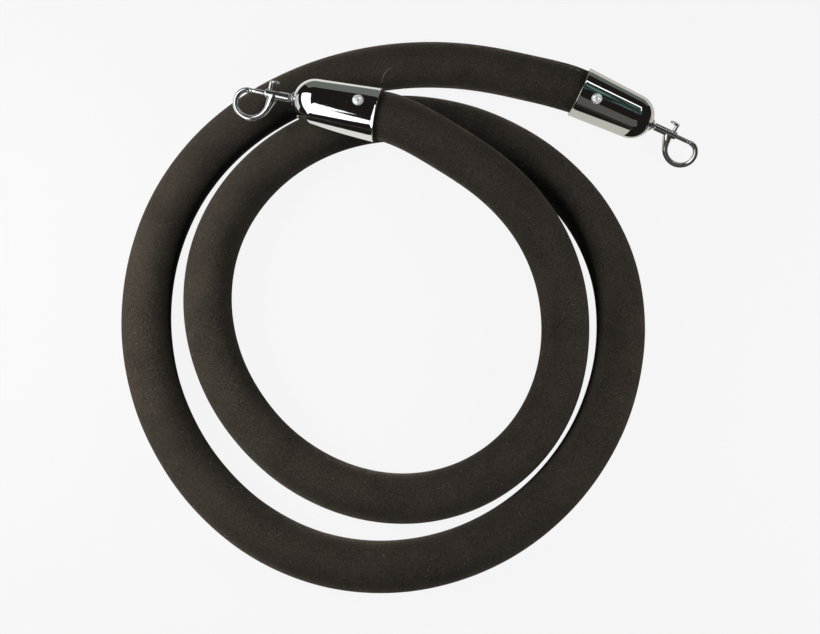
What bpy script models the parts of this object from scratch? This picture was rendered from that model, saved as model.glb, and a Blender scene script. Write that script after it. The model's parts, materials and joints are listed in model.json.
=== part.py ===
"""Velvet barrier rope, lying in loose turns, with a chrome end fitting and a bolt snap at each end.

Units are metres, +Z is up, and the rope lies on z = 0. The origin is the bottom centre of the whole
object. Each end fitting is drawn in its own frame: +Z runs from the ferrule's mouth to the snap's
hook, and its zero is the centre of the mouth. The snap's frame has the same axis, and its +X points
to the side that the hook's ring is on.
"""

import math

import bmesh
import bpy
import numpy as np
from mathutils import Matrix, Vector

MM = 0.001

# ---- driving dimensions, in millimetres -------------------------------------------------------
GAP = 0.3  # between pieces that touch

ROPE_R = 19.0  # a 38 mm rope
SLEEVE_WALL = 1.3
TUBE_SIDES = 12
TUBE_POINTS = 72
REST_Z = ROPE_R * math.cos(math.pi / TUBE_SIDES)  # the twelve-sided tube lies on a flat

# The rope's middle line, seen from above: angle in degrees, radius and height from COIL_CENTRE.
COIL_CENTRE = (-16.9, -18.9)
ROUTE = [
    (66, 244.9, REST_Z + 0.6),
    (80, 232.8, REST_Z),
    (100, 220.8, REST_Z),
    (120, 213.1, REST_Z),
    (140, 208.0, REST_Z),
    (160, 202.2, REST_Z),
    (180, 196.4, REST_Z),
    (200, 192.9, REST_Z),
    (220, 191.3, REST_Z),
    (240, 191.9, REST_Z),
    (260, 192.3, REST_Z),
    (280, 190.6, REST_Z),
    (300, 188.1, REST_Z),
    (320, 185.9, REST_Z),
    (340, 185.2, REST_Z),
    (360, 186.1, REST_Z),
    (380, 187.4, REST_Z),
    (400, 185.4, REST_Z),
    (420, 181.2, REST_Z),
    (440, 177.5, REST_Z),
    (460, 174.0, REST_Z),
    (480, 169.4, REST_Z),
    (500, 163.6, REST_Z),
    (520, 156.3, REST_Z),
    (540, 147.9, REST_Z),
    (560, 140.6, REST_Z),
    (580, 136.2, REST_Z),
    (600, 135.5, REST_Z),
    (620, 137.7, REST_Z),
    (640, 141.4, REST_Z),
    (660, 144.3, REST_Z),
    (680, 145.0, REST_Z),
    (700, 143.4, REST_Z),
    (720, 141.3, 19.4),
    (740, 140.0, 25.8),
    (760, 138.7, 34.9),
    (780, 137.9, 44.8),
    (798, 141.6, 53.3),
]

# Each end's ferrule mouth, heading and dip in degrees, and the turns of its screws and its snap
# about the fitting's axis, counted from straight up towards the coil's near side.
ENDS = {
    "a": {"mouth": (124.2, 195.2, 22.0), "heading": -19.2, "dip": 3.0, "screw": 27.5, "ring": 131.0},
    "b": {"mouth": (-42.7, 136.4, 61.0), "heading": 174.3, "dip": -0.5, "screw": 2.0, "ring": 110.0},
}
NEAR_SIDE = Vector((0, -1, 0))

FERRULE_LENGTH = 68.0
FERRULE_WALL = 1.0
MOUTH_R = 21.2
SHOULDER_R = 18.6
SHOULDER_Z = 50.0
NOSE_FLAT_R = 4.6
NOSE_HOLE_R = 2.3
NECK_LENGTH = 15.0  # the rope's end narrows over this length into the ferrule
SLEEVE_IN = 23.0  # how deep the rope's sleeve runs into the ferrule
SLEEVE_END_R = 17.7
SCREW_Z = 15.0
SCREW_SHANK_R = 1.9
SCREW_HEAD_R = 4.3
SCREW_HEAD_H = 2.4
SCREW_LENGTH = 13.0
PLUG_DEEP = -5.0
PLUG_TOP = 45.0

SNAP_Z = FERRULE_LENGTH + 2.9  # the barrel's rear end, in the fitting's frame
BARREL_R = 3.3
BARREL_LENGTH = 20.6
BORE_R = 2.15
BORE_START = 5.0
POCKET = (1.0, 4.2)
POCKET_R = 2.6
NECK_HOLE_R = 1.65
BOLT_R = 1.8
BOLT = (15.1, 33.2)
STUD_Z = 16.9
STUD_TRAVEL = 7.2
SLOT_HALF = 1.5
STUD_STEM_R = 1.7
STUD_HEAD_R = 3.9
STUD_HEAD = (8.4, 10.4)
STUD_HEAD_BACK = 2.9
SPRING_WIRE_R = 0.22
SPRING_R = 1.55
SPRING_TURNS = 5
# The hook's middle line from the web under the barrel to the tip: along, off the axis, half-width.
HOOK = [
    (13.2, 1.0, 3.6),
    (14.6, 5.0, 3.7),
    (16.0, 9.6, 2.9),
    (18.4, 14.8, 2.4),
    (23.2, 19.4, 2.2),
    (30.2, 21.6, 2.2),
    (37.0, 20.0, 2.2),
    (41.6, 15.4, 2.2),
    (42.8, 9.4, 2.2),
    (41.0, 4.0, 2.15),
    (37.2, 0.8, 2.1),
    (33.6, 0.0, 2.05),
]
HOOK_POINTS = 30
HOOK_THICKNESS = 0.9  # of its width


# ---- helpers ----------------------------------------------------------------------------------
def clear_scene():
    for obj in list(bpy.data.objects):
        bpy.data.objects.remove(obj, do_unlink=True)


def collection(name):
    made = bpy.data.collections.new(name)
    bpy.context.scene.collection.children.link(made)
    return made


def finish(name, colour, roughness, metallic):
    """A plain Principled material."""
    mat = bpy.data.materials.new(name)
    mat.use_nodes = True
    shader = mat.node_tree.nodes["Principled BSDF"]
    shader.inputs["Base Color"].default_value = (*colour, 1.0)
    shader.inputs["Roughness"].default_value = roughness
    shader.inputs["Metallic"].default_value = metallic
    return mat


def add(name, data, material=None, parent=None, into=None):
    obj = bpy.data.objects.new(name, data)
    (into or PARTS).objects.link(obj)
    if material:
        data.materials.append(material)
    obj.parent = parent
    return obj


def frame(name, matrix, parent=None):
    """An empty that carries the pieces of one end, or of one snap."""
    empty = bpy.data.objects.new(name, None)
    PARTS.objects.link(empty)
    empty.parent = parent
    empty.matrix_local = matrix
    return empty


def profile_mesh(name, points, closed):
    """The half outline of a turned piece, in millimetres of radius and height."""
    mesh = bpy.data.meshes.new(name)
    count = len(points)
    edges = [(i, i + 1) for i in range(count - 1)]
    if closed:
        edges.append((count - 1, 0))
    mesh.from_pydata([(r * MM, 0, z * MM) for r, z in points], edges, [])
    return mesh


def turned(name, points, material, parent, steps=24, closed=False):
    """A lathe-turned piece; its outline runs down its outer side, top to bottom."""
    obj = add(name, profile_mesh(name, points, closed), material, parent)
    screw = obj.modifiers.new("turn", "SCREW")
    screw.axis = "Z"
    screw.steps = steps
    screw.render_steps = steps
    screw.use_merge_vertices = True
    screw.merge_threshold = 0.0001
    screw.use_smooth_shade = True
    return obj


def rod(name, radius, low, high, material, parent, steps=20):
    return turned(name, [(0, high), (radius, high), (radius, low), (0, low)], material, parent, steps)


def as_cutter(obj):
    PARTS.objects.unlink(obj)
    CUTTERS.objects.link(obj)
    obj.hide_render = True
    obj.display_type = "WIRE"
    return obj


def box_cutter(name, low, high, parent):
    mesh = bpy.data.meshes.new(name)
    bm = bmesh.new()
    bmesh.ops.create_cube(bm, size=1.0)
    size = [(h - l) * MM for l, h in zip(low, high)]
    middle = [(h + l) / 2 * MM for l, h in zip(low, high)]
    bmesh.ops.scale(bm, vec=size, verts=bm.verts)
    bmesh.ops.translate(bm, vec=middle, verts=bm.verts)
    bm.to_mesh(mesh)
    bm.free()
    return as_cutter(add(name, mesh, parent=parent))


def boolean(obj, other, operation="DIFFERENCE"):
    mod = obj.modifiers.new(operation.lower(), "BOOLEAN")
    mod.object = other
    mod.operation = operation
    mod.solver = "EXACT"


def arc(centre, radius, start, end, count):
    """Points on a round of a turned outline, angles in degrees from the radius direction."""
    angles = np.radians(np.linspace(start, end, count))
    return [(centre[0] + radius * math.cos(t), centre[1] + radius * math.sin(t)) for t in angles]


def smooth_line(points, count, start=None, end=None):
    """count points, evenly spaced, on a cubic spline through the points; start and end are its
    directions at its ends, and an end without one is left free."""
    p = np.asarray(points, float)
    t = np.r_[0, np.cumsum(np.linalg.norm(np.diff(p, axis=0), axis=1))]
    h = np.diff(t)[:, None]
    n = len(p)
    lhs = np.zeros((n, n))
    rhs = np.zeros((n, p.shape[1]))
    slope = np.diff(p, axis=0) / h
    for i in range(1, n - 1):
        lhs[i, i - 1 : i + 2] = [h[i, 0], 2 * (h[i - 1, 0] + h[i, 0]), h[i - 1, 0]]
        rhs[i] = 3 * (h[i] * slope[i - 1] + h[i - 1] * slope[i])
    for row, inner, edge, given in ((0, 1, 0, start), (n - 1, n - 2, n - 2, end)):
        lhs[row, row] = 2.0 if given is None else 1.0
        lhs[row, inner] = 1.0 if given is None else 0.0
        rhs[row] = 3 * slope[edge] if given is None else given
    d = np.linalg.solve(lhs, rhs)

    def at(values):
        i = np.clip(np.searchsorted(t, values, side="right") - 1, 0, n - 2)
        u = ((values - t[i]) / h[i, 0])[:, None]
        return (
            (1 + 2 * u) * (1 - u) ** 2 * p[i]
            + u * (1 - u) ** 2 * h[i] * d[i]
            + u**2 * (3 - 2 * u) * p[i + 1]
            + u**2 * (u - 1) * h[i] * d[i + 1]
        )

    fine = np.linspace(0, t[-1], 40 * n)
    line = at(fine)
    along = np.r_[0, np.cumsum(np.linalg.norm(np.diff(line[:, :3], axis=0), axis=1))]
    return at(np.interp(np.linspace(0, along[-1], count), along, fine))


def tube(name, line, radii, material, sides, caps=True, parent=None, twist="Z_UP"):
    """A bevelled polyline, with a radius at each of its points."""
    curve = bpy.data.curves.new(name, "CURVE")
    curve.dimensions = "3D"
    curve.twist_mode = twist
    curve.bevel_depth = MM
    curve.bevel_resolution = sides // 2 - 2
    curve.use_fill_caps = caps
    spline = curve.splines.new("POLY")
    spline.points.add(len(line) - 1)
    for point, place, radius in zip(spline.points, line, radii):
        point.co = (*(x * MM for x in place[:3]), 1.0)
        point.radius = radius
        point.tilt = math.pi / sides
    return add(name, curve, material, parent)


def to_mesh(curve_object):
    """Turns a curve object into a mesh object with welded caps, in the same place."""
    name, parent = curve_object.name, curve_object.parent
    bpy.context.view_layer.update()
    depsgraph = bpy.context.evaluated_depsgraph_get()
    mesh = bpy.data.meshes.new_from_object(curve_object.evaluated_get(depsgraph))
    bm = bmesh.new()
    bm.from_mesh(mesh)
    bmesh.ops.remove_doubles(bm, verts=bm.verts, dist=1e-6)
    bmesh.ops.recalc_face_normals(bm, faces=bm.faces)
    bm.to_mesh(mesh)
    bm.free()
    place = curve_object.matrix_world.copy()
    bpy.data.objects.remove(curve_object, do_unlink=True)
    obj = add(name, mesh, parent=parent)
    obj.matrix_world = place
    return obj


# ---- where each end lies ----------------------------------------------------------------------
def fitting_axes(end):
    """The fitting's direction, and the two directions across it: up, and towards the near side."""
    heading, dip = math.radians(end["heading"]), math.radians(end["dip"])
    along = Vector((math.cos(heading) * math.cos(dip), math.sin(heading) * math.cos(dip), -math.sin(dip)))
    near = (NEAR_SIDE - along * NEAR_SIDE.dot(along)).normalized()
    near = (near - Vector((0, 0, near.z))).normalized()
    up = along.cross(near)
    if up.z < 0:
        up = -up
    return along, up, near


def turned_matrix(end, turn):
    """The frame at the ferrule's mouth whose +X is turned from straight up towards the near side."""
    along, up, near = fitting_axes(end)
    angle = math.radians(turn)
    x = up * math.cos(angle) + near * math.sin(angle)
    y = along.cross(x)
    matrix = Matrix((x, y, along)).transposed().to_4x4()
    matrix.translation = Vector(end["mouth"]) * MM
    return matrix


def on_axis(end, z):
    """The point z millimetres along a fitting's axis from its mouth."""
    return np.array(end["mouth"]) + z * np.array(fitting_axes(end)[0])


def rope_line():
    """The rope's middle line from inside ferrule a to inside ferrule b."""
    first, last = ENDS["a"], ENDS["b"]
    polar = np.array(ROUTE, float)
    angle = np.radians(polar[:, 0])
    laid = np.c_[
        COIL_CENTRE[0] + polar[:, 1] * np.cos(angle),
        COIL_CENTRE[1] + polar[:, 1] * np.sin(angle),
        polar[:, 2],
    ]
    line = [on_axis(first, SLEEVE_IN), on_axis(first, 3), *laid, on_axis(last, -6), on_axis(last, SLEEVE_IN)]
    out = -np.array(fitting_axes(first)[0])
    back = np.array(fitting_axes(last)[0])
    smooth = smooth_line(line, TUBE_POINTS, out, back)
    smooth[:, 2] = np.maximum(smooth[:, 2], REST_Z)
    return smooth


def narrowing(line, radius, end_radius):
    """The tube's radius along the line: it narrows to end_radius over each end."""
    along = np.r_[0, np.cumsum(np.linalg.norm(np.diff(line, axis=0), axis=1))]
    from_end = np.minimum(along, along[-1] - along)
    share = np.clip(from_end / (SLEEVE_IN + NECK_LENGTH), 0, 1)
    return end_radius + (radius - end_radius) * share


# ---- the rope ---------------------------------------------------------------------------------
def make_rope(cloth, filling):
    line = rope_line()
    sleeve = to_mesh(tube("velvet_sleeve", line, narrowing(line, ROPE_R, SLEEVE_END_R), None, TUBE_SIDES, False))
    sleeve.data.materials.append(cloth)
    wall = sleeve.modifiers.new("cloth", "SOLIDIFY")
    wall.thickness = SLEEVE_WALL * MM
    wall.offset = -1.0
    inner = line[2:-2]
    core_r = ROPE_R - SLEEVE_WALL - 2 * GAP
    make_core = narrowing(line, core_r, core_r - (ROPE_R - SLEEVE_END_R))[2:-2]
    tube("rope_core", inner, make_core, filling, TUBE_SIDES)
    return sleeve


# ---- an end fitting ---------------------------------------------------------------------------
def ferrule_outline(inset):
    """The outline from the nose's flat down to the mouth, inset from the outer surface."""
    dome_r = SHOULDER_R - inset
    height = FERRULE_LENGTH - SHOULDER_Z - inset
    flat = math.acos((NOSE_FLAT_R - 0.5 * inset) / dome_r)
    dome = [
        (dome_r * math.cos(t), SHOULDER_Z + height * math.sin(t) / math.sin(flat))
        for t in np.linspace(flat, 0, 9)
    ]
    return dome + [(MOUTH_R - inset, 0.0)]


def make_ferrule(letter, holder, cutters, chrome):
    outer = ferrule_outline(0)
    inner = ferrule_outline(FERRULE_WALL)
    outline = [(NOSE_HOLE_R, outer[0][1])] + outer + inner[::-1] + [(NOSE_HOLE_R, inner[0][1])]
    ferrule = turned(f"ferrule_{letter}", outline, chrome, holder, 32, closed=True)
    for cutter in cutters:
        boolean(ferrule, cutter)
    return ferrule


def surface_r(z):
    """The ferrule's outer radius at height z of its tapered part."""
    return MOUTH_R + (SHOULDER_R - MOUTH_R) * z / SHOULDER_Z


def make_screws(letter, end, chrome):
    """Two round-head screws with cross recesses, on opposite sides; also returns their hole cutters."""
    holes = []
    seat = surface_r(SCREW_Z) + GAP
    for number, turn in ((1, 0.0), (2, 180.0)):
        outward = frame(f"screw_frame_{letter}_{number}", turned_matrix(end, end["screw"] + turn)
                        @ Matrix.Translation((0, 0, SCREW_Z * MM)) @ Matrix.Rotation(math.pi / 2, 4, "Y"))
        dome = [(SCREW_HEAD_R * math.cos(t), seat + SCREW_HEAD_H * math.sin(t)) for t in np.radians((90, 60, 32, 8, 0))]
        outline = dome + [(SCREW_SHANK_R, seat), (SCREW_SHANK_R, seat - SCREW_LENGTH + 3), (0, seat - SCREW_LENGTH)]
        outline[0] = (0, outline[0][1])
        screw = turned(f"ferrule_screw_{letter}{number}", outline, chrome, outward, 16)
        top = seat + SCREW_HEAD_H
        for long_x, long_y in ((2.2, 0.5), (0.5, 2.2)):
            name = f"recess_{letter}{number}_{int(long_x > long_y)}"
            boolean(screw, box_cutter(name, (-long_x, -long_y, top - 1.4), (long_x, long_y, top + 1), outward))
        hole_r = SCREW_SHANK_R + 1.3 * GAP
        holes.append(as_cutter(rod(f"screw_hole_{letter}{number}", hole_r, seat - SCREW_LENGTH - 1.5, seat + 5,
                                   None, outward, 16)))
    return holes


def make_plug(letter, holder, cutters, wood):
    """The turned wooden plug that the screws bite: a spigot inside the sleeve, and a shoulder that
    fills the ferrule."""
    spigot = SLEEVE_END_R - SLEEVE_WALL - 3 * GAP
    shoulder = surface_r(PLUG_TOP) - FERRULE_WALL - 2 * GAP
    low = SLEEVE_IN + 2 * GAP
    outline = [(0, PLUG_TOP), (shoulder - 1.5, PLUG_TOP), (shoulder, PLUG_TOP - 1.5), (shoulder, low),
               (spigot, low), (spigot, PLUG_DEEP), (0, PLUG_DEEP)]
    plug = turned(f"end_plug_{letter}", outline, wood, holder, 24)
    for cutter in cutters:
        boolean(plug, cutter)
    return plug


def make_swivel(letter, holder, chrome, steel):
    """The stud that the snap turns on, the cone round its neck, and its washer and nut inside."""
    nose = FERRULE_LENGTH
    inside = ferrule_outline(FERRULE_WALL)[0][1]
    shank = NOSE_HOLE_R - GAP - 0.1
    neck = NECK_HOLE_R - GAP - 0.1
    cone_low, cone_high = nose + GAP, nose + 2.3
    turned(f"nose_cone_{letter}",
           [(shank + GAP, cone_high), (3.1, cone_high), (5.2, cone_low + 0.6), (5.2, cone_low), (shank + GAP, cone_low)],
           chrome, holder, 24, closed=True)
    head_low, head_high = SNAP_Z + POCKET[0] + GAP, SNAP_Z + POCKET[1] - GAP
    head_r = POCKET_R - GAP - 0.05
    turned(f"swivel_stud_{letter}",
           [(0, head_high), (head_r - 0.6, head_high), (head_r, head_high - 0.7), (head_r, head_low), (neck, head_low),
            (neck, cone_high - 0.4), (shank, cone_high - 0.4), (shank, nose - 11), (0, nose - 11)],
           steel, holder, 20)
    washer = (inside - GAP - 1.2, inside - GAP)
    turned(f"stud_washer_{letter}",
           [(4.4, washer[1]), (4.4, washer[0]), (shank + GAP, washer[0]), (shank + GAP, washer[1])],
           steel, holder, 20, closed=True)
    nut = (washer[0] - GAP - 3.4, washer[0] - GAP)
    turned(f"stud_nut_{letter}",
           [(4.2, nut[1]), (4.2, nut[0]), (shank + GAP, nut[0]), (shank + GAP, nut[1])],
           steel, holder, 6, closed=True)


# ---- a snap -----------------------------------------------------------------------------------
def make_snap(letter, holder, chrome, steel):
    """The cast body with its barrel and hook, the sliding bolt, its thumb stud and its spring."""
    rounded = arc((BARREL_R - 1.0, 1.0), 1.0, 0, -90, 4)
    barrel = [(0, BARREL_LENGTH), (BARREL_R - 0.5, BARREL_LENGTH), (BARREL_R, BARREL_LENGTH - 0.5), *rounded, (0, 0)]
    body = turned(f"snap_body_{letter}", barrel, chrome, holder, 24)
    hook = smooth_line([(d, 0, z, r) for z, d, r in HOOK], HOOK_POINTS)
    ring = to_mesh(tube(f"hook_ring_{letter}", hook, hook[:, 3], None, 10, parent=holder, twist="MINIMUM"))
    for vert in ring.data.vertices:
        vert.co.y *= HOOK_THICKNESS
    boolean(body, as_cutter(ring), "UNION")
    bore = rod(f"bolt_bore_{letter}", BORE_R, BORE_START, BARREL_LENGTH + 2, None, holder, 20)
    pocket = turned(f"swivel_pocket_{letter}",
                    [(0, POCKET[1]), (POCKET_R, POCKET[1]), (POCKET_R, POCKET[0]), (NECK_HOLE_R, POCKET[0]),
                     (NECK_HOLE_R, -1), (0, -1)], None, holder, 20)
    slot = box_cutter(f"stud_slot_{letter}", (-BARREL_R - 2, -SLOT_HALF, STUD_Z - STUD_TRAVEL - SLOT_HALF),
                      (0, SLOT_HALF, STUD_Z + SLOT_HALF), holder)
    for cutter in (as_cutter(bore), as_cutter(pocket), slot):
        boolean(body, cutter)

    bolt_outline = [(0, BOLT[1]), (BOLT_R - 0.4, BOLT[1]), (BOLT_R, BOLT[1] - 0.4), (BOLT_R, BOLT[0]), (0, BOLT[0])]
    bolt = turned(f"latch_bolt_{letter}", bolt_outline, chrome, holder, 20)
    outward = frame(f"thumb_frame_{letter}", Matrix.Translation((0, 0, STUD_Z * MM)) @ Matrix.Rotation(-math.pi / 2, 4, "Y"), holder)
    boolean(bolt, as_cutter(rod(f"stud_hole_{letter}", 1.1, -0.6, BOLT_R + 2, None, outward, 12)))

    waist = BARREL_R + GAP
    stem = [(0, STUD_HEAD[1] - 0.6), (STUD_STEM_R, STUD_HEAD[1] - 0.6), (STUD_STEM_R, waist), (SLOT_HALF - GAP, waist),
            (SLOT_HALF - GAP, BOLT_R + GAP), (0.75, BOLT_R + GAP), (0.75, -0.2), (0, -0.2)]
    thumb = turned(f"thumb_stud_{letter}", stem, chrome, outward, 16)
    head = turned(f"thumb_head_{letter}",
                  [(0, STUD_HEAD[1]), (STUD_HEAD_R - 0.7, STUD_HEAD[1]), (STUD_HEAD_R, STUD_HEAD[1] - 0.7),
                   (STUD_HEAD_R, STUD_HEAD[0] + 0.5), (STUD_HEAD_R - 0.5, STUD_HEAD[0]), (0, STUD_HEAD[0])],
                  None, outward, 20)
    head.location = (-STUD_HEAD_BACK * MM, 0, 0)
    boolean(thumb, as_cutter(head), "UNION")

    low, high = BORE_START + GAP + SPRING_WIRE_R, BOLT[0] - GAP - SPRING_WIRE_R
    steps = 12 * SPRING_TURNS
    turn = np.linspace(0, 2 * math.pi * SPRING_TURNS, steps + 1)
    coil = np.c_[SPRING_R * np.cos(turn), SPRING_R * np.sin(turn), np.linspace(low, high, steps + 1)]
    tube(f"bolt_spring_{letter}", coil, [SPRING_WIRE_R] * len(coil), steel, 8, parent=holder)


# ---- the whole object -------------------------------------------------------------------------
clear_scene()
PARTS = collection("velvet_barrier_rope")
CUTTERS = collection("cutters")

velvet = finish("velvet", (0.035, 0.03, 0.026), 0.95, 0.0)
foam = finish("foam_core", (0.62, 0.58, 0.48), 0.9, 0.0)
wood = finish("plug_wood", (0.55, 0.38, 0.22), 0.75, 0.0)
chrome = finish("chrome", (0.84, 0.85, 0.86), 0.08, 1.0)
steel = finish("zinc_steel", (0.6, 0.6, 0.6), 0.35, 1.0)

sleeve = make_rope(velvet, foam)
for letter, end in ENDS.items():
    holder = frame(f"fitting_{letter}", turned_matrix(end, end["screw"]))
    holes = make_screws(letter, end, chrome)
    make_ferrule(letter, holder, holes, chrome)
    make_plug(letter, holder, holes, wood)
    for hole in holes:
        boolean(sleeve, hole)
    make_swivel(letter, holder, chrome, steel)
    snap = frame(f"snap_{letter}", turned_matrix(end, end["ring"]) @ Matrix.Translation((0, 0, SNAP_Z * MM)))
    make_snap(letter, snap, chrome, steel)
bpy.context.view_layer.update()
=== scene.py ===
"""The finished look of the velvet barrier rope: a velour rope lying in loose turns, with a polished
ferrule and a swivelling bolt snap at each end.

+Z is up. The camera and the stage are in metres. The rope and its fittings are in millimetres, and
MM turns them into metres. Each end fitting is drawn in its own frame: +Z runs from the ferrule's
mouth to the snap's hook, and its zero is the centre of the mouth. A snap's frame has the same axis,
its zero is the barrel's end, and its +X points to the side that the hook's ring is on.
"""

import json
import math

import bmesh
import bpy
import numpy as np
from mathutils import Matrix, Vector


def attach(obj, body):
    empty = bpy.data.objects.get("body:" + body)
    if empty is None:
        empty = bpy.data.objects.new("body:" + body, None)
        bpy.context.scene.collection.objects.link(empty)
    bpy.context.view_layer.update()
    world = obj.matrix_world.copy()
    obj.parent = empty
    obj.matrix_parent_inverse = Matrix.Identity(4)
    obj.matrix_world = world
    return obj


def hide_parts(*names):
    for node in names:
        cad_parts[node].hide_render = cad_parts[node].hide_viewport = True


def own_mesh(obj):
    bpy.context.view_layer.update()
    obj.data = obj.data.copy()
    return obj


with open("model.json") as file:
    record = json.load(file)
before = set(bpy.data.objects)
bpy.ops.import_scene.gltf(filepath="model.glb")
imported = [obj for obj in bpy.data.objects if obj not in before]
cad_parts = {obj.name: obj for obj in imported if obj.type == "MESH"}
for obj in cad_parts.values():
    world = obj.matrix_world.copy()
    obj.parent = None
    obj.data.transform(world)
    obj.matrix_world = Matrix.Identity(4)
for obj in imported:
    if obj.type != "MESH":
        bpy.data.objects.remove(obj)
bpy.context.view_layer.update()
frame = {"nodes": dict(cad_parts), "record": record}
MM = 0.001

# ---- the camera -------------------------------------------------------------------------------
CAMERA_PLACE = (-0.0013, -0.15636, 0.6571)
CAMERA_TILT = math.radians(12.44)
CAMERA_ROLL = math.radians(5.575)
CAMERA_LENS = 35.585
SENSOR_WIDTH = 36.0


def make_camera():
    """Looks down at the coil, tipped back by the tilt and turned about its own view by the roll."""
    data = bpy.data.cameras.new("camera")
    data.lens = CAMERA_LENS
    data.sensor_width = SENSOR_WIDTH
    data.clip_start = 0.01
    camera = bpy.data.objects.new("camera", data)
    bpy.context.scene.collection.objects.link(camera)
    camera.matrix_world = (
        Matrix.Translation(CAMERA_PLACE)
        @ Matrix.Rotation(CAMERA_TILT, 4, "X")
        @ Matrix.Rotation(CAMERA_ROLL, 4, "Z")
    )
    bpy.context.scene.camera = camera


# ---- shader maths -----------------------------------------------------------------------------
class Value:
    """A socket that Python's operators work on, each by adding a Math node."""

    def __init__(self, finish, socket):
        self.finish, self.socket = finish, socket

    def math(self, operation, first, second=None):
        return self.finish.node("ShaderNodeMath", {"operation": operation}, {0: first, 1: second})

    def __add__(self, other):
        return self.math("ADD", self, other)

    def __sub__(self, other):
        return self.math("SUBTRACT", self, other)

    def __rsub__(self, other):
        return self.math("SUBTRACT", other, self)

    def __mul__(self, other):
        return self.math("MULTIPLY", self, other)

    def above(self, edge, soft):
        """0 below the edge, 1 a softness above it, and a smooth step between."""
        return self.finish.node(
            "ShaderNodeMapRange",
            {"interpolation_type": "SMOOTHSTEP"},
            {"Value": self, "From Min": edge, "From Max": edge + soft},
        )

    __radd__ = __add__
    __rmul__ = __mul__


class Finish:
    """A material and its Principled shader: constants are set on sockets, link() ties in a pattern."""

    def __init__(self, name, colour=(0.8, 0.8, 0.8), **constants):
        self.material = bpy.data.materials.new(name)
        self.material.use_nodes = True
        self.tree = self.material.node_tree
        self.shader = self.tree.nodes["Principled BSDF"]
        self.shader.inputs["Base Color"].default_value = (*colour, 1.0)
        for word, value in constants.items():
            socket = word.replace("_", " ").title().replace("Ior", "IOR")
            self.shader.inputs[socket].default_value = value
        self.place = self.node("ShaderNodeTexCoord", out="Object")

    def node(self, kind, settings=(), links=(), out=0):
        """Adds a node, gives it its settings, then its sockets' values or links."""
        made = self.tree.nodes.new(kind)
        for key, value in dict(settings).items():
            setattr(made, key, value)
        for key, value in dict(links).items():
            if isinstance(value, Value):
                self.tree.links.new(value.socket, made.inputs[key])
            elif value is not None:
                made.inputs[key].default_value = value
        return Value(self, made.outputs[out])

    def noise(self, scale, detail=2.0, rough=0.5, place=None):
        return self.node(
            "ShaderNodeTexNoise",
            {},
            {"Vector": place or self.place, "Scale": scale, "Detail": detail, "Roughness": rough},
        )

    def stretched(self, scale, turn=(0.0, 0.0, 0.0)):
        """Object coordinates turned and then scaled differently along each axis."""
        return self.node("ShaderNodeMapping", {}, {"Vector": self.place, "Scale": scale, "Rotation": turn})

    def blend(self, share, low, high):
        """A colour between two others."""
        links = {0: share, 6: low, 7: high}
        links = {k: (*v, 1.0) if isinstance(v, tuple) else v for k, v in links.items()}
        return self.node("ShaderNodeMix", {"data_type": "RGBA"}, links, out=2)

    def link(self, socket, value):
        self.tree.links.new(value.socket, self.shader.inputs[socket])

    def bump(self, height, distance, strength=1.0):
        links = {"Height": height, "Distance": distance, "Strength": strength}
        self.link("Normal", self.node("ShaderNodeBump", {}, links))


def velvet_finish():
    """Black velour: a fine upright pile that catches light at grazing angles, pressed in patches,
    with a little dust in it."""
    made = Finish("velvet", roughness=0.92, sheen_weight=0.17, sheen_roughness=0.32,
                  sheen_tint=(1.0, 0.84, 0.68, 1.0), specular_ior_level=0.1)
    pile = made.noise(1500, 2, 0.7)
    tuft = made.noise(620, 3, 0.65)
    pressed = made.noise(34, 3, 0.5)
    share = pile * 1.5 + tuft * 1.5 + pressed * 0.5 - 1.25
    cloth = made.blend(share, (0.0085, 0.0068, 0.0052), (0.0420, 0.0350, 0.0275))
    specks = made.noise(1150, 0, 0.5).above(0.76, 0.03) * made.noise(90, 1, 0.5).above(0.5, 0.1)
    made.link("Base Color", made.blend(specks * 0.6, cloth, (0.13, 0.115, 0.10)))
    made.bump(pile * 0.7 + tuft * 0.7 + pressed * 0.4, 0.0007, 0.9)
    return made.material


def chrome_finish(name, waviness, haze, polish, metallic):
    """Polished plate: a waviness in metres, smears that haze it, and a little dust on its polish."""
    made = Finish(name, metallic=metallic, specular_ior_level=0.5)
    smear = made.noise(1.0, 3, 0.55, made.stretched((90, 30, 60), (0.3, 0.7, 0.2)))
    dust = made.noise(1500, 1, 0.5).above(0.74, 0.05)
    grey = made.noise(45, 3, 0.6)
    made.link("Base Color", made.blend(grey, (0.86, 0.885, 0.875), (0.80, 0.825, 0.82)))
    made.link("Roughness", smear.above(0.45, 0.4) * haze + dust * 0.2 + polish)
    made.bump(made.noise(130, 2, 0.5), waviness, 1.0)
    return made.material


def zinc_finish():
    """Zinc plate on drawn steel, with fine marks and a dull bloom."""
    made = Finish("zinc_steel", metallic=1.0)
    marks = made.noise(1.0, 3, 0.6, made.stretched((2600, 700, 700)))
    bloom = made.noise(160, 3, 0.55)
    made.link("Base Color", made.blend(bloom, (0.50, 0.50, 0.51), (0.66, 0.66, 0.65)))
    made.link("Roughness", marks * 0.16 + bloom * 0.12 + 0.2)
    made.bump(marks, 0.00002)
    return made.material


def wood_finish():
    """Turned pale wood, with drawn-out rings and pores."""
    made = Finish("plug_wood", roughness=0.7)
    rings = made.node("ShaderNodeTexWave", {"wave_type": "RINGS"},
                      {"Vector": made.place, "Scale": 60.0, "Distortion": 3.0, "Detail": 2.0})
    pores = made.noise(1.0, 3, 0.6, made.stretched((300, 2400, 2400)))
    made.link("Base Color", made.blend(rings * 0.6 + pores * 0.4, (0.62, 0.42, 0.25), (0.42, 0.26, 0.14)))
    made.link("Roughness", pores * 0.2 + 0.6)
    made.bump(pores, 0.00008)
    return made.material


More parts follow.
